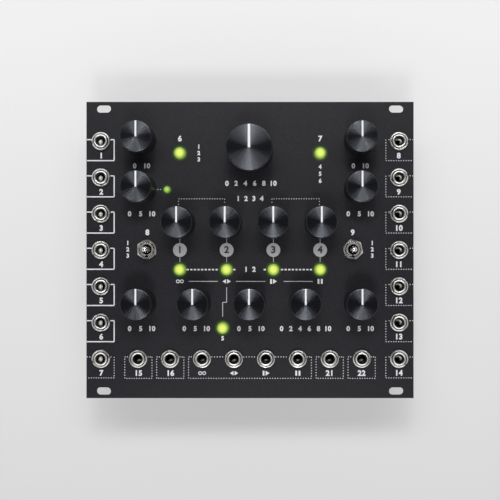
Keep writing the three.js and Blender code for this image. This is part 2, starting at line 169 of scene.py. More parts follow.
def material(name, colour, roughness, metallic=0.0, spread=0.0, spread_size=4.0,
             bump=0.0, bump_size=0.4, coat=0.0, gloss=0.5):
    """Principled material whose colour and surface vary by a noise in object space."""
    made = bpy.data.materials.new(name)
    made.use_nodes = True
    tree = made.node_tree
    set_shader(made, {"Base Color": (*colour, 1), "Roughness": roughness, "Metallic": metallic,
                      "Coat Weight": coat, "Specular IOR Level": gloss})
    if spread:
        value = noise(tree, coordinates(tree), 1 / (spread_size * MM), COLOUR_DETAIL)
        shades = [[min(1, c * (1 + side * spread)) for c in colour] for side in (-1, 1)]
        set_shader(made, {"Base Color": blend(tree, ramp(tree, value, NOISE_SPAN), *shades)})
    if bump:
        height = noise(tree, coordinates(tree), 1 / (bump_size * MM), BUMP_DETAIL)
        set_shader(made, {"Normal": relief(tree, height, bump, BUMP_DEPTH * MM)})
    return made


def turned_grain(made):
    """Fine marks of the lathe round the axis, which vary with the direction from the centre."""
    tree = made.node_tree
    streaks = noise(tree, from_axis(tree, "NORMALIZE")["Vector"], GRAIN_SCALE, GRAIN_DETAIL)
    set_shader(made, {
        "Anisotropic": 1.0,
        "Anisotropic Rotation": QUARTER_TURN,
        "Tangent": add_node(tree, "Tangent", direction_type="RADIAL", axis="Z")["Tangent"],
        "Specular Tint": GRAIN_TINT,
        "Roughness": ramp(tree, streaks, NOISE_SPAN, GRAIN_ROUGHNESS),
        "Normal": relief(tree, streaks, 1.0, GRAIN_DEPTH * MM),
    })


def lit_material(name, colour, core, rim, reach, strength):
    """Surface lit from behind, or carrying painted light spill: its glow fades from a core to a rim, at the
    radii in reach.
    """
    made = material(name, colour, LIT_ROUGHNESS, gloss=LIT_GLOSS)
    tree = made.node_tree
    radius = from_axis(tree, "LENGTH")["Value"]
    share = ramp(tree, radius, [r * MM for r in reach], kind="SMOOTHSTEP")
    set_shader(made, {"Emission Color": blend(tree, share, core, rim), "Emission Strength": strength})
    return made


POWDER = material("powder_coat", (0.012, 0.0117, 0.0158), 0.42, spread=0.25, spread_size=0.7,
                  bump=0.3, bump_size=0.35, gloss=0.18)
PRINT = material("white_print", (0.72, 0.72, 0.75), 0.6, spread=0.05, spread_size=1.5)
PRINT_DARK = material("dark_print", (0.03, 0.03, 0.035), 0.6, spread=0.1, spread_size=1.5)
PRINT_GREY = material("grey_print", (0.5, 0.5, 0.53), 0.6, spread=0.05, spread_size=1.5)
KNOB_TOP = material("knob_turned_face", (0.002, 0.0021, 0.0028), 0.34, spread=0.15,
                    spread_size=1.2, gloss=0.8)
turned_grain(KNOB_TOP)
KNOB_RIM = material("knob_cut_rim", (0.14, 0.147, 0.168), 0.3, metallic=1.0, spread=0.1,
                    spread_size=1.0)
KNOB_SIDE = material("knob_anodised_side", (0.005, 0.005, 0.006), 0.34, spread=0.2,
                     spread_size=1.5, gloss=0.45)
# Black anodised corner ring, made darker and almost unreflective as painted shade so that it reads as a
# black ring.
KNOB_CORNER_PAINTED_SHADE = material("knob_anodised_corner", (0.0022, 0.0022, 0.0026), 0.4, spread=0.2,
                             spread_size=1.5, gloss=0.04)
KNOB_LINE = material("pointer_paint", (0.8, 0.8, 0.82), 0.5, spread=0.04, spread_size=0.8)
SHAFT = material("bright_steel", (0.55, 0.54, 0.52), 0.3, metallic=1.0, spread=0.08)
NICKEL = material("bright_nickel", (0.72, 0.71, 0.69), 0.31, metallic=1.0, spread=0.05,
                  spread_size=1.0, bump=0.02, bump_size=0.25)
CUT_NICKEL = material("cut_nickel", (0.72, 0.7, 0.67), 0.26, metallic=1.0, spread=0.12,
                      spread_size=1.2, bump=0.04, bump_size=0.3)
CHROME = material("polished_lever", (0.82, 0.82, 0.81), 0.12, metallic=1.0, spread=0.03)
# Darker copy of the nickel for the barrel threads: painted shade in their grooves.
THREAD_PAINTED_SHADE = material("thread_shade", (0.16, 0.155, 0.145), 0.4, metallic=1.0, spread=0.1)
# Near black inside the bores: the plastic of the housing, and painted shade on the metal walls of the jack
# barrels and toggle bushings.
BORE = material("bore_shade", (0.012, 0.012, 0.013), 0.5, spread=0.2)
LEAF = material("contact_leaf", (0.78, 0.75, 0.71), 0.5, metallic=0.35, spread=0.1, spread_size=1.0)
PLASTIC = material("black_plastic", (0.013, 0.013, 0.014), 0.48, spread=0.2, spread_size=2.0,
                   bump=0.1, bump_size=0.3)
MASK = material("solder_mask", (0.01, 0.011, 0.014), 0.3, spread=0.35, spread_size=3.0, coat=0.3)
POT_BODY = material("control_body", (0.02, 0.021, 0.023), 0.5, spread=0.15)
POT_PLATE = material("control_plate", (0.52, 0.51, 0.48), 0.36, metallic=1.0, spread=0.08)
BRASS = material("turned_brass", (0.66, 0.5, 0.24), 0.3, metallic=1.0, spread=0.1, spread_size=1.5)
GOLD = material("gold_pin", (0.83, 0.62, 0.25), 0.25, metallic=1.0, spread=0.05)
CHIP = material("chip_resin", (0.018, 0.018, 0.02), 0.55, spread=0.2, bump=0.1)
TIN = material("tinned_lead", (0.6, 0.6, 0.6), 0.35, metallic=1.0, spread=0.1)
CERAMIC = material("ceramic_part", (0.36, 0.27, 0.17), 0.5, spread=0.15)
CAN = material("can_aluminium", (0.7, 0.7, 0.7), 0.3, metallic=1.0, spread=0.06)
LIT_CAP = lit_material("lit_cap_glow", (0.2, 0.24, 0.05), (0.73, 0.86, 0.14), (0.15, 0.24, 0.04),
                       reach=(0.85, 2.4), strength=0.85)
LIT_LAMP = lit_material("lamp_glow", (0.14, 0.22, 0.05), (0.38, 0.62, 0.11), (0.1, 0.2, 0.03),
                        reach=(0.4, 1.5), strength=0.8)
# The seams' faint green glow is painted light: the lamps' light spilling round their holes onto the panel.
BUTTON_SPILL_PAINTED_GLOW = lit_material("lit_seam", SEAM_BLACK, (0.03, 0.11, 0.001), (0, 0, 0),
                        reach=(2.6, 3.75), strength=0.82)
LAMP_SPILL_PAINTED_GLOW = lit_material("lamp_seam", SEAM_BLACK, (0.02, 0.06, 0.001), (0, 0, 0),
                        reach=(1.6, 2.5), strength=0.6)


# Shapes

SHARP_ANGLE = 32


class Shape:
    """A mesh put together in millimetres from boxes, prisms and turned forms."""

    def __init__(self):
        self.points = []
        self.faces = []
        self.slots = []

    def add(self, points, faces, slot=0, place=None):
        first = len(self.points)
        place = place or Matrix.Identity(4)
        self.points += [place @ Vector(point) for point in points]
        self.faces += [[first + i for i in face] for face in faces]
        self.slots += [slot] * len(faces)

    def prism(self, outline, low, high, slot=0, place=None):
        count = len(outline)
        points = [(x, y, low) for x, y in outline] + [(x, y, high) for x, y in outline]
        faces = [list(range(count))[::-1], list(range(count, 2 * count))]
        for i in range(count):
            after = (i + 1) % count
            faces.append([i, after, count + after, count + i])
        self.add(points, faces, slot, place)

    def box(self, first, second, slot=0, place=None):
        """Box between two opposite corners."""
        (left, right), (near, far), (low, high) = [sorted(pair) for pair in zip(first, second)]
        self.prism([(left, near), (right, near), (right, far), (left, far)], low, high, slot, place)

    def turned(self, profile, sides, slot=0, place=None, shift=None):
        """Form turned about Z. shift(radius, height, angle) may move a point."""
        points, rings = [], []
        for radius, height in profile:
            if radius == 0:
                rings.append([len(points)] * sides)
                points.append((0, 0, height))
                continue
            ring = []
            for i in range(sides):
                angle = 2 * math.pi * i / sides
                r, z = shift(radius, height, angle) if shift else (radius, height)
                ring.append(len(points))
                points.append((r * math.cos(angle), r * math.sin(angle), z))
            rings.append(ring)
        faces = []
        for lower, upper in zip(rings, rings[1:]):
            for i in range(sides):
                after = (i + 1) % sides
                face = list(dict.fromkeys((lower[i], lower[after], upper[after], upper[i])))
                if len(face) > 2:
                    faces.append(face)
        self.add(points, faces, slot, place)

    def mesh(self, name, materials, sharp=SHARP_ANGLE):
        made = bpy.data.meshes.new(name)
        made.from_pydata([tuple(point * MM) for point in self.points], [], self.faces)
        for entry in materials:
            made.materials.append(entry)
        made.polygons.foreach_set("material_index", self.slots)
        work = bmesh.new()
        work.from_mesh(made)
        bmesh.ops.recalc_face_normals(work, faces=work.faces)
        work.to_mesh(made)
        work.free()
        made.shade_smooth()
        made.set_sharp_from_angle(angle=math.radians(sharp))
        made.update()
        return made


def spot(node, z=PANEL_FRONT):
    """Point in the middle of a CAD node, on the panel's front or at another height."""
    return (*centre(node), z)


def new_object(name, data):
    made = bpy.data.objects.new(name, data)
    bpy.context.scene.collection.objects.link(made)
    return made


def place_mesh(name, mesh, body, place=(0, 0, 0), turn=0.0):
    """Object of a mesh at a place in millimetres, riding on a CAD body."""
    piece = new_object(name, mesh)
    piece.location = Vector(place) * MM
    piece.rotation_euler = (0, 0, math.radians(turn))
    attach(piece, body)
    return piece


def evaluated_mesh(name, data):
    """Mesh of a curve or a text."""
    item = new_object(name, data)
    bpy.context.view_layer.update()
    graph = bpy.context.evaluated_depsgraph_get()
    mesh = bpy.data.meshes.new_from_object(item.evaluated_get(graph))
    bpy.data.objects.remove(item)
    return mesh


def plate_mesh(name, outlines, thick, coating, edge=0.0):
    """Plate filled from its outline and those of its holes. The edge is its rounding."""
    curve = bpy.data.curves.new(name, "CURVE")
    curve.dimensions = "2D"
    curve.fill_mode = "BOTH"
    curve.bevel_depth = edge * MM
    curve.bevel_resolution = 2
    curve.offset = -edge * MM
    curve.extrude = thick / 2 * MM - edge * MM
    for points in outlines:
        spline = curve.splines.new("POLY")
        spline.points.add(len(points) - 1)
        for point, (x, y) in zip(spline.points, points):
            point.co = (x * MM, y * MM, 0, 1)
        spline.use_cyclic_u = True
    mesh = evaluated_mesh(f"{name}_curve", curve)
    mesh.materials.clear()
    mesh.materials.append(coating)
    return mesh


def rectangle(low, high):
    return [(low.x, low.y), (high.x, low.y), (high.x, high.y), (low.x, high.y)]


def arc(wide, tall, start, end, steps, x=0.0, y=0.0):
    """Points of an ellipse from one angle to another, with both ends."""
    turns = [start + (end - start) * i / steps for i in range(steps + 1)]
    return [(x + wide * math.cos(t), y + tall * math.sin(t)) for t in turns]


def circle(x, y, radius, sides):
    return arc(radius, radius, 0, 2 * math.pi, sides, x, y)[:-1]


def hexagon(flats):
    return circle(0, 0, flats / math.sqrt(3), 6)


def thread(radius, depth, low, high, pitch):
    """Profile of a screw thread, as rings from the lowest to the highest."""
    rings = []
    z = low
    while z < high:
        rings += [(radius, z), (radius - depth, z + pitch / 2)]
        z += pitch
    return rings


# Panel

SLOT_LENGTH = 6.25
SLOT_WIDTH = 3.3
SLOT_SIDE_INSET = 7.5
SLOT_EDGE_INSET = 3.0
PANEL_EDGE = 0.18
HOLE_SIDES = 48
# Radius of the hole round each node whose name ends so
HOLES = {"_knob": 3.8, "_button": 2.7, "_toggle_body": 3.35, "_jack": 3.2, "_level_light": 1.7}


def slot_outline(x, y):
    radius, reach = SLOT_WIDTH / 2, (SLOT_LENGTH - SLOT_WIDTH) / 2
    points = []
    for side in (1, -1):
        start = -side * math.pi / 2
        points += arc(radius, radius, start, start + math.pi, HOLE_SIDES // 2, x + side * reach, y)
    return points


def make_panel():
    outlines = [rectangle(PANEL_LOW, PANEL_HIGH)]
    for x in (PANEL_LOW.x + SLOT_SIDE_INSET, PANEL_HIGH.x - SLOT_SIDE_INSET):
        for y in (PANEL_LOW.y + SLOT_EDGE_INSET, PANEL_HIGH.y - SLOT_EDGE_INSET):
            outlines.append(slot_outline(x, y))
    for suffix, radius in HOLES.items():
        outlines += [circle(*centre(stem + suffix), radius, HOLE_SIDES) for stem in stems(suffix)]
    mesh = plate_mesh("panel_outline", outlines, PANEL_FRONT - PANEL_REAR, POWDER, PANEL_EDGE)
    mesh.shade_smooth()
    mesh.set_sharp_from_angle(angle=math.radians(SHARP_ANGLE))
    panel = place_mesh("panel_plate", mesh, "module", (0, 0, (PANEL_FRONT + PANEL_REAR) / 2))
    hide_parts("front_panel")


# Print

PRINT_HEIGHT = 0.03
FRAME_LINE = 0.5
GREY_LINE = 0.3
DOT_LENGTH = 0.38
DOT_STEP = 1.1
DOT_WIDTH = 0.36
LABEL_HEIGHT = 2.3
SCALE_HEIGHT = 0.9 * LABEL_HEIGHT
SMALL_LABEL_HEIGHT = 1.75
FONT_SHARE = 1.4
LETTER_SPACE = 1.08
SIGN_SIZE = 1.7
SIGN_HALF_SHARE = 0.62
BAR_WIDTH_SHARE = 0.46
LOOP_SIZE = 1.2


class Print(Shape):
    """Thin print on the panel: lines, dots, discs, signs and plain numbers."""

    def __init__(self, low):
        super().__init__()
        self.low = low
        self.high = low + PRINT_HEIGHT

    def stroke(self, start, end, width=FRAME_LINE):
        run = Vector(end) - Vector(start)
        side = Vector((-run.y, run.x)).normalized() * width / 2
        ends = [Vector(start) - side, Vector(end) - side, Vector(end) + side, Vector(start) + side]
        self.prism([tuple(point) for point in ends], self.low, self.high)

    def path(self, points, width=FRAME_LINE):
        for start, end in zip(points, points[1:]):
            self.stroke(start, end, width)

    def dotted(self, points, width=DOT_WIDTH):
        for start, end in zip(points, points[1:]):
            run = Vector(end) - Vector(start)
            count = max(1, round(run.length / DOT_STEP))
            step = run / count
            dot = step.normalized() * DOT_LENGTH
            for i in range(count):
                first = Vector(start) + step * i
                self.stroke(tuple(first), tuple(first + dot), width)

    def disc(self, x, y, radius):
        self.prism(circle(x, y, radius, HOLE_SIDES), self.low, self.high)

    def label(self, text, x, y, height, weight=0.062):
        """Plain numbers, centred on a point. Their weight is a share of the height."""
        font = bpy.data.curves.new("label", "FONT")
        font.body = text
        font.size = height * FONT_SHARE
        font.align_x = "CENTER"
        font.align_y = "CENTER"
        font.offset = weight * height
        font.space_character = LETTER_SPACE
        font.resolution_u = 4
        font.extrude = PRINT_HEIGHT / 2
        letters = evaluated_mesh("label", font)
        place = Matrix.Translation((x, y, (self.low + self.high) / 2))
        points = [vertex.co for vertex in letters.vertices]
        self.add(points, [list(face.vertices) for face in letters.polygons], 0, place)
        bpy.data.meshes.remove(letters)

    def arrow(self, x, y, size, side):
        back = x - side * size / 2
        half = size * SIGN_HALF_SHARE
        self.prism([(back, y - half), (back, y + half), (x + side * size / 2, y)], self.low, self.high)

    def bar(self, x, y, size):
        half = size * SIGN_HALF_SHARE
        self.stroke((x, y - half), (x, y + half), BAR_WIDTH_SHARE * size)

    def loop(self, x, y, size):
        """The sign for endless: a lying figure of eight."""
        wide, tall, line, steps = 1.25 * size, 1.5 * size, 0.42, 40
        points = []
        for i in range(steps + 1):
            turn = 2 * math.pi * i / steps
            across = math.cos(turn) / (1 + math.sin(turn) ** 2)
            points.append((x + wide * across, y + tall * across * math.sin(turn)))
        self.path(points, line)


def signs(ink, places, y):
    """Common transport signs: endless, both ways, play by steps, pause."""
    endless, both, step, pause = places
    size = SIGN_SIZE
    small, wide, narrow, ahead = [share * size for share in (0.9, 0.6, 0.42, 0.4)]
    ink.loop(endless, y, LOOP_SIZE)
    for side in (-1, 1):
        ink.arrow(both + side * wide, y, small, side)
        ink.bar(pause + side * narrow, y, size)
    ink.bar(step - wide, y, size)
    ink.arrow(step + ahead, y, size, 1)


def print_sockets(ink):
    """Frames and numbers of the sockets, measured from the middle of each."""
    clear, rise, drop, label_drop = 4.0, 0.75, 8.35, 6.3
    inner_x, edge = 58.9, PANEL_HIGH.x - PANEL_EDGE
    for row, names, first in ((-1, LEFT_JACKS, 1), (1, RIGHT_JACKS, 8)):
        for number, name in enumerate(names, first):
            x, y = centre(f"{name}_jack")
            top, bottom, inner = y + rise, y - drop, row * inner_x
            draw = ink.path if row < 0 and name != "clock_in" else ink.dotted
            draw([(row * edge, top), (x + row * clear, top)])
            draw([(x - row * clear, top), (inner, top), (inner, bottom), (row * edge, bottom)])
            ink.label(str(number), x, y - label_drop, LABEL_HEIGHT)
    columns = [centre(f"{name}_jack")[0] for name in BOTTOM_JACKS]
    y = centre("tap_gate_jack")[1]
    signs(ink, columns[2:6], y - label_drop)
    end, drop, label_drop, numbers = 5.9, 8.55, 6.4, 15
    top, bottom = y + rise, y - drop
    for first, last in ((0, 0), (1, 1), (2, 5), (6, 6), (7, 7)):
        left, right = columns[first] - end, columns[last] + end
        stops = [left]
        for column in columns[first:last + 1]:
            stops += [column - clear, column + clear]
        stops.append(right)
        for start, stop in zip(stops[::2], stops[1::2]):
            ink.dotted([(start, top), (stop, top)])
        ink.dotted([(right, top), (right, bottom), (left, bottom), (left, top)])
        if first == last:
            ink.label(str(numbers + first), columns[first], y - label_drop, LABEL_HEIGHT)


# Scales below the knobs: their marks, their width and how far down they are
SHORT_SCALE = (("0", "10"), 5.2)
PLAIN_SCALE = (("0", "5", "10"), 9.6)
LONG_SCALE = (("0", "2", "4", "6", "8", "10"), 20.0)
SCALES = {"dry": SHORT_SCALE, "wet": SHORT_SCALE, "speed": LONG_SCALE, "wow_flutter": LONG_SCALE}
SCALE_DROPS = {"speed": 14.1, "dry": 11.1, "wet": 11.1, "record_level": 10.9, "repeats": 10.9}
PLAIN_DROP = 11.3


def print_scales(ink):
    for name in KNOBS:
        if name.startswith("head"):
            continue
        x, y = centre(f"{name}_knob")
        marks, width = SCALES.get(name, PLAIN_SCALE)
        drop = SCALE_DROPS.get(name, PLAIN_DROP)
        for i, mark in enumerate(marks):
            ink.label(mark, x + width * (i / (len(marks) - 1) - 0.5), y - drop, SCALE_HEIGHT)


def print_heads(ink, grey, dark):
    """Numbered discs at mid height, a bracket above the head knobs and lines below them."""
    heads = [centre(f"head_{number}_knob")[0] for number in (1, 2, 3, 4)]
    knob_y = centre("head_1_knob")[1]
    button_y = centre("head_1_button")[1]
    radius, number_height, line = 3.0, 3.0, 0.24
    knob_clear, button_clear = 6.4, 3.3
    for number, x in enumerate(heads, 1):
        grey.stroke((x, radius), (x, knob_y - knob_clear), line)
        grey.stroke((x, -radius), (x, button_y + button_clear), line)
        grey.disc(x, 0, radius)
        dark.label(str(number), x, 0, number_height, weight=0.05)
    bracket_y, leg_y = 22.2, 19.6
    for outer, inner in ((-31.0, -11.0), (30.1, 9.5)):
        ink.dotted([(outer, leg_y), (outer, bracket_y), (inner, bracket_y), (inner, leg_y)])
    ink.label("1  2  3  4", 0, bracket_y, SCALE_HEIGHT)
    dash, gap, width, spare = 0.95, 0.62, 0.62, 0.2
    for left, right in ((-27.5, -13.9), (13.4, 26.9), (-7.3, -5.6), (5.9, 8.0)):
        x = left
        while x + dash <= right + spare:
            ink.stroke((x, button_y), (x + dash, button_y), width)
            x += dash + gap
    ink.label("1  2", 0, button_y, SCALE_HEIGHT)
    sign_y, step_y = -13.6, -22.7
    signs(ink, heads, sign_y)
    for left, right in ((-26.6, -13.9), (-6.1, 6.6), (14.6, 27.2)):
        grey.stroke((left, sign_y), (right, sign_y), GREY_LINE)
    x, y = centre("transport_button")
    start, end, label_y = sign_y - 2.6, y + 4.9, y - 4.6
    grey.path([(heads[1], start), (heads[1], step_y), (x, step_y), (x, end)], GREY_LINE)
    ink.label("5", x, label_y, SMALL_LABEL_HEIGHT)


# Number and its rise above each top button and toggle, then first number, place and
# step of the list beside it
LIST_STEP = 2.75
SIDE_LISTS = (
    ("modes_button", "6", 6.2, 1, 8.2, 2.7, LIST_STEP),
    ("tap_button", "7", 6.2, 4, 0.0, -6.0, 3.05),
    ("heads_toggle_body", "8", 7.3, 1, -8.5, LIST_STEP, LIST_STEP),
    ("pan_toggle_body", "9", 7.3, 1, 8.5, LIST_STEP, LIST_STEP),
)


def print_lists(ink):
    for node, number, rise, first, list_x, list_y, step in SIDE_LISTS:
        x, y = centre(node)
        ink.label(number, x, y + rise, LABEL_HEIGHT)
        for line in range(3):
            ink.label(str(first + line), x + list_x, y + list_y - step * line, SMALL_LABEL_HEIGHT)
    x, y = centre("record_level_light")
    route, width = ((-5.9, 0.9), (-5.2, 0), (-1.9, 0)), 0.35
    ink.dotted([(x + across, y + up) for across, up in route], width)


def make_print():
    ink = Print(PANEL_FRONT)
    grey = Print(PANEL_FRONT)
    dark = Print(PANEL_FRONT + PRINT_HEIGHT)
    print_sockets(ink)
    print_scales(ink)
    print_heads(ink, grey, dark)
    print_lists(ink)
    prints = (("white", ink, PRINT), ("grey", grey, PRINT_GREY), ("numerals", dark, PRINT_DARK))
    for look, shape, colour in prints:
        name = f"panel_print_{look}"
        piece = place_mesh(name, shape.mesh(name, [colour]), "module")


# Knobs

KNOB_LIFT = 0.6
KNOB_FOOT_BEVEL = 0.3
KNOB_WALL = 0.75
KNOB_BEVEL = 0.55
KNOB_DISH = 0.1
KNOB_SLOPE = 0.11
KNOB_CORNER = 0.2
KNOB_RIM_SHARES = (0.4, 0.3)
KNOB_SIDES = 96
KNOB_SHARP_ANGLE = 40
HOLLOW_TOP = 2.9
SHAFT_RADIUS = 3.0
SHAFT_END = [(SHAFT_RADIUS, -3.8), (0, -3.9)]
LINE_BACK = 0.2
LINE_RISE = 0.03
SMALL_LINE_WIDTH = 0.74
LARGE_LINE_WIDTH = 1.02


def pointer_line(shape, route, top, width):
    """Painted bar along a route of places and heights, sunk a little into the face."""
    slant, depth = 0.08, 0.16
    points, faces = [], []
    for x in (-width / 2, width / 2):
        points += [(x, y, min(z, top)) for y, z in route]
        points += [(x, y - slant, z - depth) for y, z in route]
    count = len(route)
    for i in range(count - 1):
        faces.append([i, i + 1, 2 * count + i + 1, 2 * count + i])
        faces.append([count + i, 3 * count + i, 3 * count + i + 1, count + i + 1])
        for side in (0, 2 * count):
            faces.append([side + i, side + i + 1, side + count + i + 1, side + count + i])
    for end in (0, count - 1):
        faces.append([end, count + end, 3 * count + end, 2 * count + end])
    shape.add(points, faces, 3)


def knob_mesh(name, radius, top, line_width):
    """Hollow cup with its shaft: dished face, cut rim, black corner darkened with painted shade, wall and
    pointer line.
    """
    face, edge = radius - KNOB_BEVEL, radius - KNOB_CORNER
    face_top = top - KNOB_DISH
    edge_top = face_top - KNOB_SLOPE
    rim_out, rim_down = KNOB_RIM_SHARES
    rim = (edge + KNOB_CORNER * rim_out, edge_top - KNOB_CORNER * rim_down)
    wall_top = (radius, edge_top - KNOB_CORNER)
    shape = Shape()
    shape.turned([(0, top), (face, face_top)], KNOB_SIDES, 0)
    shape.turned([(face, face_top), (edge, edge_top)], KNOB_SIDES, 0)
    shape.turned([(edge, edge_top), rim], KNOB_SIDES, 4)
    shape.turned([rim, wall_top], KNOB_SIDES, 5)
    shape.turned([
        wall_top, (radius, KNOB_LIFT + KNOB_FOOT_BEVEL), (radius - KNOB_FOOT_BEVEL, KNOB_LIFT),
        (radius - KNOB_WALL, KNOB_LIFT), (radius - KNOB_WALL, HOLLOW_TOP), (SHAFT_RADIUS, HOLLOW_TOP),
    ], KNOB_SIDES, 1)
    shape.turned([(SHAFT_RADIUS, HOLLOW_TOP)] + SHAFT_END, KNOB_SIDES, 2)
    route = [(-LINE_BACK, top), (face / 2, top - KNOB_DISH / 2 + LINE_RISE),
             (face, face_top + LINE_RISE), (edge, edge_top + LINE_RISE)]
    pointer_line(shape, route, top, line_width)
    looks = [KNOB_TOP, KNOB_SIDE, SHAFT, KNOB_LINE, KNOB_RIM, KNOB_CORNER_PAINTED_SHADE]
    return shape.mesh(name, looks, sharp=KNOB_SHARP_ANGLE)


def make_knobs():
    meshes = {}
    for name, node, width in (("small_knob", "dry_knob", SMALL_LINE_WIDTH),
                              ("large_knob", "speed_knob", LARGE_LINE_WIDTH)):
        low, high = corners(node)
        meshes[name] = knob_mesh(name, (high.x - low.x) / 2, high.z - PANEL_FRONT, width)
    for name in KNOBS:
        mesh = meshes["large_knob" if name == "speed" else "small_knob"]
        piece = place_mesh(f"{name}_turned_knob", mesh, f"{name}_dial", spot(f"{name}_knob"))
        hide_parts(f"{name}_knob")


# Buttons and level light. A profile is a list of radius and height.

CAP_SIDES = 64
CAP_PROFILE = [
    (0, 2.0), (1.2, 1.97), (1.9, 1.86), (2.3, 1.6), (2.48, 1.2), (2.5, 0.8), (2.5, -2.3),
    (3.2, -2.3), (3.2, -7.8), (1.9, -7.8), (1.9, -5.7), (0, -5.7),
]
LAMP_SIDES = 48
SEAM_RISE = 0.02
BUTTON_SEAM = {"inner": 2.56, "wall": 2.69, "back": 2.695, "rim": 3.5, "depth": 1.6}
LAMP_SEAM = {"inner": 1.55, "wall": 1.68, "back": 1.69, "rim": 2.4, "depth": 1.0}
LAMP_FLANGE = [(0, -3.1), (1.9, -3.1), (1.9, -2.1), (1.5, -2.1)]


def seam_mesh(name, sides, glow, inner, wall, back, rim, depth):
    """Thin lining of a hole with a flat flange on the panel, which glows faintly with painted light
    spilling from the lamp.
    """
    seam = Shape()
    seam.turned([
        (inner, -depth), (wall, -depth), (wall, SEAM_RISE), (rim, SEAM_RISE), (rim, 0), (back, 0),
        (back, -depth - SEAM_RISE), (inner, -depth - SEAM_RISE), (inner, -depth),
    ], sides)
    return seam.mesh(name, [glow])


def make_buttons():
    cap = Shape()
    cap.turned(CAP_PROFILE, CAP_SIDES)
    cap_mesh = cap.mesh("button_cap", [LIT_CAP])
    # Ring of painted light spill round each button
    ring_mesh = seam_mesh("button_seam", CAP_SIDES, BUTTON_SPILL_PAINTED_GLOW, **BUTTON_SEAM)
    for name in BUTTONS:
        place = spot(f"{name}_button")
        piece = place_mesh(f"{name}_cap", cap_mesh, f"{name}_key", place)
        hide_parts(f"{name}_button")
        ring = place_mesh(f"{name}_seam", ring_mesh, "module", place)


def make_lamp():
    """Domed lamp with a flange and two leads."""
    lamp = Shape()
    radius, rise, steps = 1.5, 1.1, 8
    dome = arc(radius, rise, 0, math.pi / 2, steps)[:-1]
    lamp.turned(LAMP_FLANGE + dome + [(0, rise)], LAMP_SIDES, 0)
    half, top = 0.25, -3.0
    for x in (-1.27, 1.27):
        lamp.box((x - half, -half, FOOT), (x + half, half, top), 1)
    place = spot("record_level_light")
    piece = place_mesh("level_lamp", lamp.mesh("level_lamp", [LIT_LAMP, TIN]), "module", place)
    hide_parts("record_level_light")
    # Ring of painted light spill round the level lamp
    ring_mesh = seam_mesh("level_lamp_seam", LAMP_SIDES, LAMP_SPILL_PAINTED_GLOW, **LAMP_SEAM)
    ring = place_mesh("level_lamp_seam", ring_mesh, "module", place)


# Jacks

NUT_RADIUS = 3.9
NUT_THICK = 1.7
NUT_BORE = 3.2
NUT_TEETH = 60
NUT_SIDES = 4 * NUT_TEETH
KNURL_DEPTH = 0.09
KNURL_TOP = NUT_THICK - 0.4
NOTCH_HALF_WIDTH = 0.5
NOTCH_DEPTH = 0.9
NOTCH_FLOOR = NUT_THICK - 0.5
NUT_PROFILE = [
    (NUT_BORE, 0.1), (3.5, 0.1), (3.8, 0.25), (NUT_RADIUS, 0.45), (NUT_RADIUS, 1.1),
    (NUT_RADIUS, NUT_THICK - 0.32), (NUT_RADIUS - 0.3, NUT_THICK - 0.02), (3.5, NUT_THICK),
    (NUT_BORE + 0.2, NUT_THICK - 0.01), (NUT_BORE + 0.08, NUT_THICK - 0.1), (NUT_BORE, NUT_THICK - 0.3),
    (NUT_BORE, 0.1),
]


def nut_mesh():
    """Round nut with a knurled rim and two notches for its driver."""

    def shift(radius, height, angle):
        if radius > NUT_RADIUS - 0.1 and height < KNURL_TOP:
            radius -= KNURL_DEPTH * (0.5 + 0.5 * math.cos(NUT_TEETH * angle))
        if height > NOTCH_FLOOR and abs(radius * math.sin(angle)) < NOTCH_HALF_WIDTH:
            height -= NOTCH_DEPTH
        return radius, height

    shape = Shape()
    shape.turned(NUT_PROFILE, NUT_SIDES, 0, shift=shift)
    return shape.mesh("round_nut", [NICKEL])


# Contacts in the bores: their width, height in the middle, droop of the ends and form
CONTACTS = {
    "left": {"width": 1.75, "height": -0.2, "drop": 0.7, "lens": True},
    "right": {"width": 0.8, "height": 0.0, "drop": 1.8},
    "bottom": {"width": 0.9, "height": -2.2, "drop": 1.2},
}
CONTACT_THICK = 0.15


def contact_path(kind):
    """Middle line of a contact, seen from the front."""
    if kind == "left":
        return [(-0.3 - 0.12 * math.cos(0.4 * (i - 4)), 1.05 - 0.34 * i) for i in range(9)]
    if kind == "right":
        return arc(1.35, 1.2, math.radians(128), math.radians(-42), 10, -0.3, -0.25)
    return [(0.25 * i - 0.8, -0.85 - 0.04 * (i - 4) ** 2) for i in range(8)]


def contact(shape, path, width, height, drop, slot, lens=False):
    """Spring contact across a bore: a bent, crowned ribbon whose ends dive down."""
    count, crown, fullness = len(path), 0.6, 1.05
    points = []
    for i, (x, y) in enumerate(path):
        before, after = path[max(0, i - 1)], path[min(count - 1, i + 1)]
        run = Vector((after[0] - before[0], after[1] - before[1])).normalized()
        share = 2 * i / (count - 1) - 1
        half = width / 2 * (math.sqrt(fullness - share * share) if lens else 1)
        z = height - drop * share * share
        for below, shares in ((0, (-1, -0.4, 0.4, 1)), (CONTACT_THICK, (1, 0.4, -0.4, -1))):
            for across in shares:
                sink = crown * half * across * across
                points.append((x - run.y * half * across, y + run.x * half * across, z - sink - below))
    faces = [list(range(8)), list(range(8 * count - 8, 8 * count))]
    for i in range(count - 1):
        for j in range(8):
            first, after = 8 * i + j, 8 * i + (j + 1) % 8
            faces.append([first, after, after + 8, first + 8])
    shape.add(points, faces, slot)


SOCKET_HALF_X = 4.5
SOCKET_HALF_Y = 5.25
SOCKET_SIDES = 72
SOCKET_RADIUS = 2.94
SOCKET_LIP = [
    (2.92, 2.0), (2.87, 2.22), (2.72, 2.36), (2.52, 2.4), (2.34, 2.37), (2.2, 2.26), (2.1, 2.05),
]
SOCKET_BORE = [(2.1, 2.05), (1.85, 1.5), (1.8, 1.2), (1.8, -9.4), (0, -9.4)]


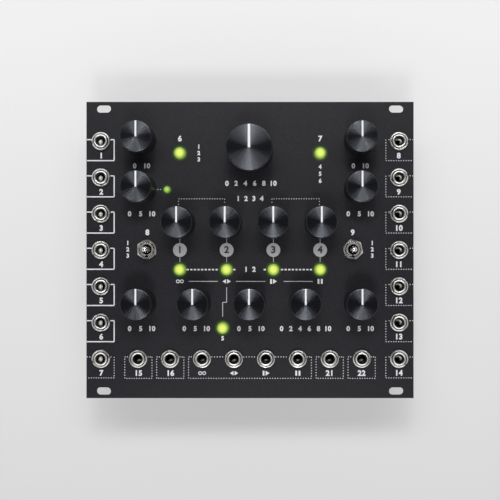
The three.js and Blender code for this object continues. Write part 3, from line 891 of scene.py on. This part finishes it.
def socket_mesh(kind):
    """Housing, threaded barrel and bore, with the spring contact seen in it."""
    least = 0.01

    def square(radius, height, angle):
        if radius < SOCKET_HALF_X:
            return radius, height
        halves = ((SOCKET_HALF_X, math.cos(angle)), (SOCKET_HALF_Y, math.sin(angle)))
        return min(half / max(abs(share), least) for half, share in halves), height

    shape = Shape()
    shape.turned([
        (0, FOOT), (SOCKET_HALF_X, FOOT), (SOCKET_HALF_X, HOUSING_TOP), (SOCKET_RADIUS, HOUSING_TOP),
    ], SOCKET_SIDES, 2, shift=square)
    rings = thread(SOCKET_RADIUS, 0.12, -2.0, 1.9, 0.35)
    # The threads get the darker metal: painted shade in the grooves
    shape.turned([(SOCKET_RADIUS, HOUSING_TOP)] + rings + SOCKET_LIP[:1], SOCKET_SIDES, 5)
    shape.turned(SOCKET_LIP, SOCKET_SIDES, 0)
    shape.turned(SOCKET_BORE, SOCKET_SIDES, 1)
    contact(shape, contact_path(kind), slot=3, **CONTACTS[kind])
    half, depth, top = 0.4, 0.05, -8.6
    for x in (-2.2, 0.0, 2.2):
        shape.box((x - half, -SOCKET_HALF_Y, FOOT), (x + half, depth - SOCKET_HALF_Y, top), 4)
    return shape.mesh(f"socket_{kind}", [NICKEL, BORE, PLASTIC, LEAF, TIN, THREAD_PAINTED_SHADE])


NUT_TURNS = dict(zip(LEFT_JACKS + RIGHT_JACKS + BOTTOM_JACKS, (
    12, 97, 60, 40, 82, 110, 18, 176, 200, 168, 15, 40, 130, 140, 120, 15, 75, 160, 100, 30, 155, 50,
)))


def make_jacks():
    nut = nut_mesh()
    sockets = {kind: socket_mesh(kind) for kind in CONTACTS}
    for name in JACKS:
        place = spot(f"{name}_jack")
        kind = "left" if name in LEFT_JACKS else "right" if name in RIGHT_JACKS else "bottom"
        body = place_mesh(f"{name}_socket", sockets[kind], "module", place)
        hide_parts(f"{name}_jack")
        ring = place_mesh(f"{name}_nut", nut, "module", place, turn=NUT_TURNS[name])


# Toggles

HEX_FLAT = 4.0
HEX_LOW = 0.1
HEX_TOP = 2.1
HEX_CROWN = HEX_FLAT - 0.08
CORNER_SLOPE = 0.8
HEX_SIDES = 120
HEX_SHARP_ANGLE = 20
TOGGLE_NUT_TURNS = {"heads": 30, "pan": 42}
TOGGLE_NUT_PROFILE = [
    (NUT_BORE, HEX_LOW), (HEX_FLAT + 1, HEX_LOW), (HEX_FLAT + 1, HEX_TOP), (HEX_CROWN, HEX_TOP),
    (3.55, HEX_TOP), (3.35, HEX_TOP - 0.12), (NUT_BORE, HEX_TOP - 0.4), (NUT_BORE, HEX_LOW),
]


def toggle_nut_mesh():
    """Hexagonal nut whose corners are turned off at the top."""
    sixth = math.pi / 3

    def shift(radius, height, angle):
        if radius <= HEX_FLAT:
            return radius, height
        rim = HEX_FLAT / math.cos(angle % sixth - sixth / 2)
        if height > HEX_LOW:
            height = HEX_TOP - CORNER_SLOPE * (rim - HEX_CROWN)
        return rim, height

    shape = Shape()
    shape.turned(TOGGLE_NUT_PROFILE, HEX_SIDES, 0, shift=shift)
    return shape.mesh("toggle_nut", [CUT_NICKEL], sharp=HEX_SHARP_ANGLE)


BUSHING_SIDES = 90
BUSHING_FOOT = [(0, -3.3), (3.12, -3.3), (3.12, -2.2)]
BUSHING_LIP = [(3.1, 3.3), (2.9, 3.58), (2.5, 3.6), (2.25, 3.45), (2.2, 2.6)]
BUSHING_BORE = [(2.2, 2.6), (2.2, -3.2), (0, -3.2)]
KEYWAY_RADIUS = 2.42
KEYWAY_HALF_ANGLE = 0.2
KEYWAY_LOW = -2.0
TOGGLE_BOXES = ((3.45, 6.35, FOOT, HOUSING_TOP, 1), (3.55, 6.0, -11.0, -2.4, 2))


def add_boxes(shape, boxes):
    """Boxes from their half widths, lowest and highest point and material slot."""
    for x, y, low, high, slot in boxes:
        shape.box((-x, -y, low), (x, y, high), slot)


def toggle_body_mesh():
    """Housing in its metal frame, threaded bushing with a keyway, and terminals."""

    def keyway(radius, height, angle):
        turned = abs((angle - 1.5 * math.pi + math.pi) % (2 * math.pi) - math.pi)
        if height > KEYWAY_LOW and turned < KEYWAY_HALF_ANGLE and radius > KEYWAY_RADIUS:
            radius = KEYWAY_RADIUS
        return radius, height

    shape = Shape()
    add_boxes(shape, TOGGLE_BOXES)
    rings = thread(3.14, 0.16, -2.0, 3.0, 0.4)
    shape.turned(BUSHING_FOOT + rings + BUSHING_LIP, BUSHING_SIDES, 0, shift=keyway)
    # The bushing's bore is near black: painted shade on its metal wall
    shape.turned(BUSHING_BORE, BUSHING_SIDES, 3)
    half_x, half_y, low, top = 1.0, 0.4, -12.0, -11.8
    for y in (-4.7, 0.0, 4.7):
        shape.box((-half_x, y - half_y, low), (half_x, y + half_y, top), 2)
    return shape.mesh("toggle_body", [CUT_NICKEL, PLASTIC, POT_PLATE, BORE])


LEVER_SIDES = 48
LEVER_PIVOT = 1.0


def lever_mesh():
    """Bat lever: a ball in the bushing, a slim neck and a rounded tip."""
    shape = Shape()
    tail, ball, neck, steps = 0.8, 1.85, 1.0, 10
    profile = [(0, -3.0), (tail, -3.0)]
    profile += arc(ball, ball, -math.acos(tail / ball), math.acos(neck / ball), steps)
    profile += [(1.05, 3.0), (1.25, 5.5), (1.43, 7.4)]
    tip, height, steps = 1.45, 7.95, 8
    profile += arc(tip, tip, 0, math.pi / 2, steps, y=height)[:-1]
    profile.append((0, height + tip))
    shape.turned(profile, LEVER_SIDES, 0)
    return shape.mesh("bat_lever", [CHROME])


def make_toggles():
    body, nut, lever = toggle_body_mesh(), toggle_nut_mesh(), lever_mesh()
    for name in TOGGLES:
        node = f"{name}_toggle_body"
        switch = place_mesh(f"{name}_switch_body", body, "module", spot(node))
        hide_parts(f"{name}_toggle_body")
        ring = place_mesh(f"{name}_switch_nut", nut, "module", spot(node), turn=TOGGLE_NUT_TURNS[name])
        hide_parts(f"{name}_toggle_nut")
        bat = place_mesh(f"{name}_bat", lever, f"{name}_lever", spot(node, PANEL_FRONT + LEVER_PIVOT))
        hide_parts(f"{name}_toggle_lever")


# Boards and what they carry

BOARD_THICK = 1.6
SPACERS = [f"board_spacer_{number}" for number in (1, 2, 3, 4)]
SCREW_HOLE = 1.7
SCREW_HOLE_SIDES = 32


def board_plate(name, low, high, rear, node):
    """Board with its four screw holes."""
    outlines = [rectangle(low, high)]
    outlines += [circle(*centre(spacer), SCREW_HOLE, SCREW_HOLE_SIDES) for spacer in SPACERS]
    mesh = plate_mesh(name, outlines, BOARD_THICK, MASK)
    piece = place_mesh(name, mesh, "module", (0, 0, rear + BOARD_THICK / 2))
    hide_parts(node)


def dress_board(name, mesh, place=(0, 0, 0)):
    place_mesh(name, mesh, "module", place)


POT_BOXES = ((4.75, 5.7, 0, 5.9, 0), (4.85, 4.4, 1.0, 6.3, 1), (4.75, 5.4, 5.9, 6.8, 1))
POT_FOOT = [(3.15, 6.8), (3.6, 6.8)]
POT_LIP = [(3.45, 14.6), (3.2, 14.6), (3.15, 8.0), (3.15, 6.8)]
POT_SIDES = 60
POT_NUT = {"low": 12.1, "high": 14.3, "slot": 1}
POT_NUT_FLATS = 10.0
TACT_BOXES = ((3, 3, 0, 3.1, 0), (2.9, 2.9, 3.1, 3.5, 1))
TACT_PLUNGER = [(0, 3.5), (1.5, 3.5), (1.5, 5.6), (1.4, 5.7), (0, 5.7)]
TACT_SIDES = 32


def make_control_board():
    rear = BOARD_LOW.z
    front = rear + BOARD_THICK
    board_plate("control_board_plate", BOARD_LOW, BOARD_HIGH, rear, "control_board")
    pot = Shape()
    add_boxes(pot, POT_BOXES)
    pot.turned(POT_FOOT + thread(3.6, 0.14, 7.0, 14.2, 0.4) + POT_LIP, POT_SIDES, 1)
    pot.prism(hexagon(POT_NUT_FLATS), **POT_NUT)
    pot_mesh = pot.mesh("potentiometer", [POT_BODY, POT_PLATE])
    for name in KNOBS:
        dress_board(f"{name}_potentiometer", pot_mesh, spot(f"{name}_knob", front))
    tact = Shape()
    add_boxes(tact, TACT_BOXES)
    tact.turned(TACT_PLUNGER, TACT_SIDES, 0)
    tact_mesh = tact.mesh("tactile_switch", [PLASTIC, POT_PLATE])
    for name in BUTTONS:
        dress_board(f"{name}_tactile_switch", tact_mesh, spot(f"{name}_button", front))


# Chips and cans on the main board: half width and half length of a chip, then the
# place, all as shares of the board's half width and height
CHIP_SHARES = [
    (0.15, 0.19, -0.42, 0.2), (0.1, 0.15, 0.36, 0.34), (0.08, 0.1, 0.7, 0.1),
    (0.07, 0.07, -0.05, -0.55), (0.06, 0.12, -0.56, -0.62), (0.06, 0.12, 0.52, -0.6),
]
CAN_SHARES = [(0.22, -0.6), (0.33, -0.6), (-0.62, 0.72)]
CAN_SIDES = 40
CAN_PROFILE = [
    (0, -0.5), (3.0, -0.5), (3.0, -1.0), (2.85, -1.15), (3.0, -1.35), (3.0, -5.1), (2.75, -5.4), (0, -5.4),
]


def make_chips(rear, half_width, half_height):
    """Chips with their legs. Gives back the room that they take."""
    inset, tall, lift, room = 0.9, 1.5, 0.12, 1.2
    pitch, leg, foot, margin = 0.9, 0.2, 0.3, 0.6
    leg_low, leg_top, foot_low = 0.55, 0.35, 0.5
    chips, taken = Shape(), []
    for width_share, length_share, x_share, y_share in CHIP_SHARES:
        width, length = width_share * half_width, length_share * half_height
        x, y = x_share * half_width, y_share * half_height
        body = width - inset
        chips.box((x - body, y - length, rear - tall), (x + body, y + length, rear - lift), 0)
        count = int(2 * (length - margin) / pitch)
        for i in range(count):
            low_y = y + (i - (count - 1) / 2) * pitch - leg
            high_y = low_y + 2 * leg
            for side in (-1, 1):
                inner, outer = x + side * body, x + side * width
                chips.box((inner, low_y, rear - leg_low), (outer, high_y, rear - leg_top), 1)
                chips.box((outer, low_y, rear - foot_low), (outer - side * foot, high_y, rear), 1)
        taken.append((x, y, width + room, length + room))
    dress_board("main_board_chips", chips.mesh("main_board_chips", [CHIP, TIN]))
    return taken


def make_cans(rear, half_width, half_height):
    """Round capacitors on their square bases. Gives back the room that they take."""
    base, tall, room = 3.1, 0.5, 4.2
    cans, taken = Shape(), []
    for x_share, y_share in CAN_SHARES:
        x, y = x_share * half_width, y_share * half_height
        place = Matrix.Translation((x, y, rear))
        cans.box((-base, -base, -tall), (base, base, 0), 1, place)
        cans.turned(CAN_PROFILE, CAN_SIDES, 0, place)
        taken.append((x, y, room, room))
    dress_board("main_board_cans", cans.mesh("main_board_cans", [CAN, CHIP]))
    return taken


PART_SEED = 7
EVEN_ODDS = 0.5


def make_small_parts(rear, half_width, half_height, taken):
    """Small resistors and capacitors in the free places between the chips."""
    step, jitter, room = 4.2, 0.5, 1
    long, wide, tall = 0.8, 0.4, 0.45
    cap, skin, rise = 0.25, 0.01, 0.02
    draw = random.Random(PART_SEED)
    parts = Shape()
    for column in range(1, int(2 * half_width / step)):
        for row in range(1, int(2 * half_height / step)):
            x = -half_width + column * step + draw.uniform(-jitter, jitter)
            y = -half_height + row * step
            skip = draw.random() < EVEN_ODDS
            if skip or any(abs(x - a) < w + room and abs(y - b) < h + room for a, b, w, h in taken):
                continue
            lying = draw.random() < EVEN_ODDS
            body = 2 if draw.random() < EVEN_ODDS else 0
            half_x, half_y = (long, wide) if lying else (wide, long)
            parts.box((x - half_x, y - half_y, rear - tall), (x + half_x, y + half_y, rear), 1)
            half_x += -cap if lying else skin
            half_y += skin if lying else -cap
            low = rear - tall - rise
            parts.box((x - half_x, y - half_y, low), (x + half_x, y + half_y, rear), body)
    dress_board("main_board_small_parts", parts.mesh("main_board_small_parts", [CHIP, TIN, CERAMIC]))


def make_main_board():
    rear = MAIN_HIGH.z - BOARD_THICK
    board_plate("main_board_plate", MAIN_LOW, MAIN_HIGH, rear, "main_board")
    size = (MAIN_HIGH.x, MAIN_HIGH.y)
    taken = make_chips(rear, *size) + make_cans(rear, *size)
    header, header_room, spacer_room = corners("power_header")[1], 1.5, 4.0
    taken.append((0, 0, header.x + header_room, header.y + header_room))
    taken += [(*centre(spacer), spacer_room, spacer_room) for spacer in SPACERS]
    make_small_parts(rear, *size, taken)


def make_header():
    """Open shroud with a key gap, and its two rows of pins."""
    low, high = corners("power_header")
    wall, base, key, key_end = 1.1, 1.9, 2.25, 5.4
    inner, floor = high.x - wall, high.z - base
    shell = Shape()
    shell.box((low.x, low.y, floor), high, 0)
    shell.box((low.x, high.y - wall, 0), (high.x, high.y, floor), 0)
    for side in (-1, 1):
        shell.box((side * high.x, low.y, 0), (side * inner, high.y - wall, floor), 0)
        shell.box((side * key, low.y, 0), (side * inner, low.y + wall, floor), 0)
    shell.box((-key, low.y, key_end), (key, low.y + wall, floor), 0)
    pitch, count, half, foot, tip = 2.54, 8, 0.32, 1.6, 1.3
    for i in range(count):
        x = pitch * (i - (count - 1) / 2)
        for y in (-pitch / 2, pitch / 2):
            for start, end in ((foot, floor), (tip, foot)):
                shell.box((x - half, y - half, start), (x + half, y + half, end), 1)
    piece = place_mesh("header_shroud", shell.mesh("header_shroud", [PLASTIC, GOLD]), "module")
    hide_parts("power_header")


SPACER_FLATS = 5.0
SCREW_SIDES = 40
SCREW_HEAD = [(0, 0), (2.7, 0), (2.7, 0.9), (2.3, 1.45), (1.5, 1.68), (1.1, 1.7), (0.9, 0.8), (0, 0.8)]


def make_spacers():
    """Hexagonal pillars between the boards, with a screw head at either end."""
    shape = Shape()
    gap, seat = BOARD_LOW.z - MAIN_HIGH.z, 0.1
    shape.prism(hexagon(SPACER_FLATS), seat, gap - seat, 0)
    for end, sign in ((-BOARD_THICK - seat, -1), (gap + BOARD_THICK + seat, 1)):
        shape.turned([(radius, end + sign * rise) for radius, rise in SCREW_HEAD], SCREW_SIDES, 1)
    mesh = shape.mesh("spacer", [BRASS, SHAFT])
    for spacer in SPACERS:
        piece = place_mesh(f"{spacer}_pillar", mesh, "module", spot(spacer, MAIN_HIGH.z))
        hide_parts(spacer)


def dress_cad():
    """The stacking connectors keep their CAD shape and get a moulded plastic."""
    for side in ("left", "right"):
        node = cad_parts[f"{side}_stacking_connector"]
        node.data.materials.clear()
        node.data.materials.append(PLASTIC)


# Floor, light and camera. Sizes of the floor and lights are in metres.

FLOOR_SIZE = 6
FLOOR_GREY = (0.5, 0.5, 0.5)
FLOOR_ROUGHNESS = 0.9
FLOOR_GLOSS = 0.1
WHITE = (1, 1, 1, 1)
# Painted glow of the floor for the camera and reflections, weaker towards the front
FLOOR_PAINTED_GLOW_SPAN = (-0.12, 0.12)
FLOOR_PAINTED_GLOW = (0.225, 0.395)
SKY_HEIGHT_SPAN = (0.2, 0.75)
SKY_HEIGHT_FADE = (0.75, 0.07)
SKY_DEPTH_SPAN = (-0.6, 0.6)
SKY_DEPTH_FADE = (1.15, 0.85)

# Name, power in watts, width, depth, tilt in degrees, distance
LIGHTS = (
    ("key_light", 2.3, 0.9, 0.16, 24, 0.92),
    ("key_middle", 1.1, 0.4, 0.15, 27, 0.9),
    ("key_core", 1.1, 0.14, 0.14, 29, 0.88),
    ("front_fill", 1.3, 1.2, 0.5, -45, 1.2),
    ("front_middle", 0.7, 0.42, 0.15, -25, 0.92),
    ("front_core", 1.5, 0.14, 0.14, -24, 0.9),
)

CAMERA_X = 11.5
CAMERA_Y = -4.0
CAMERA_DISTANCE = 430.0
VIEW_WIDTH = 216.8
SENSOR = 36.0


def make_floor():
    """Pale paper. The camera and reflections see it brighter by a painted glow, which is dimmer towards the
    front as painted shade.
    """
    bpy.ops.mesh.primitive_plane_add(size=FLOOR_SIZE)
    floor = bpy.context.object
    floor.name = "floor"
    paper = material("floor_paper", FLOOR_GREY, FLOOR_ROUGHNESS, gloss=FLOOR_GLOSS)
    tree = paper.node_tree
    ray = add_node(tree, "LightPath")
    seen = combine(tree, "MAXIMUM", ray["Is Camera Ray"], ray["Is Glossy Ray"])
    # Painted light and shade: the glow fades from the back to the front
    painted_brightness = ramp(tree, split(tree, coordinates(tree))["Y"], FLOOR_PAINTED_GLOW_SPAN, FLOOR_PAINTED_GLOW)
    set_shader(paper, {"Emission Color": WHITE, "Emission Strength": combine(tree, "MULTIPLY", seen, painted_brightness)})
    floor.data.materials.append(paper)


def make_sky():
    """Soft white surround, darker overhead and a little brighter in front."""
    world = bpy.data.worlds.new("studio")
    bpy.context.scene.world = world
    world.use_nodes = True
    tree = world.node_tree
    direction = split(tree, coordinates(tree, "Generated"))
    height = ramp(tree, direction["Z"], SKY_HEIGHT_SPAN, SKY_HEIGHT_FADE)
    depth = ramp(tree, direction["Y"], SKY_DEPTH_SPAN, SKY_DEPTH_FADE)
    strength = combine(tree, "MULTIPLY", height, depth)
    set_inputs(tree, tree.nodes["Background"], {"Color": WHITE, "Strength": strength})


def add_light(name, power, width, depth, tilt, distance):
    """Soft light that looks at the panel, tilted from straight above towards +Y."""
    light = bpy.data.lights.new(name, "AREA")
    light.shape = "RECTANGLE"
    light.size = width
    light.size_y = depth
    light.energy = power
    lamp = new_object(name, light)
    turn = Matrix.Rotation(math.radians(-tilt), 4, "X")
    lamp.matrix_world = turn @ Matrix.Translation((0, 0, distance))


def make_camera():
    camera = bpy.data.cameras.new("camera")
    camera.sensor_width = SENSOR
    camera.lens = SENSOR * CAMERA_DISTANCE / VIEW_WIDTH
    camera.shift_x = -CAMERA_X / VIEW_WIDTH
    camera.shift_y = -CAMERA_Y / VIEW_WIDTH
    eye = new_object("camera", camera)
    eye.location = Vector((CAMERA_X, CAMERA_Y, PANEL_FRONT + CAMERA_DISTANCE)) * MM
    bpy.context.scene.camera = eye
    bpy.context.scene.view_settings.view_transform = "Standard"


make_panel()
make_print()
make_knobs()
make_buttons()
make_lamp()
make_jacks()
make_toggles()
make_control_board()
make_main_board()
make_header()
make_spacers()
dress_cad()
make_floor()
make_sky()
for settings in LIGHTS:
    add_light(*settings)
make_camera()
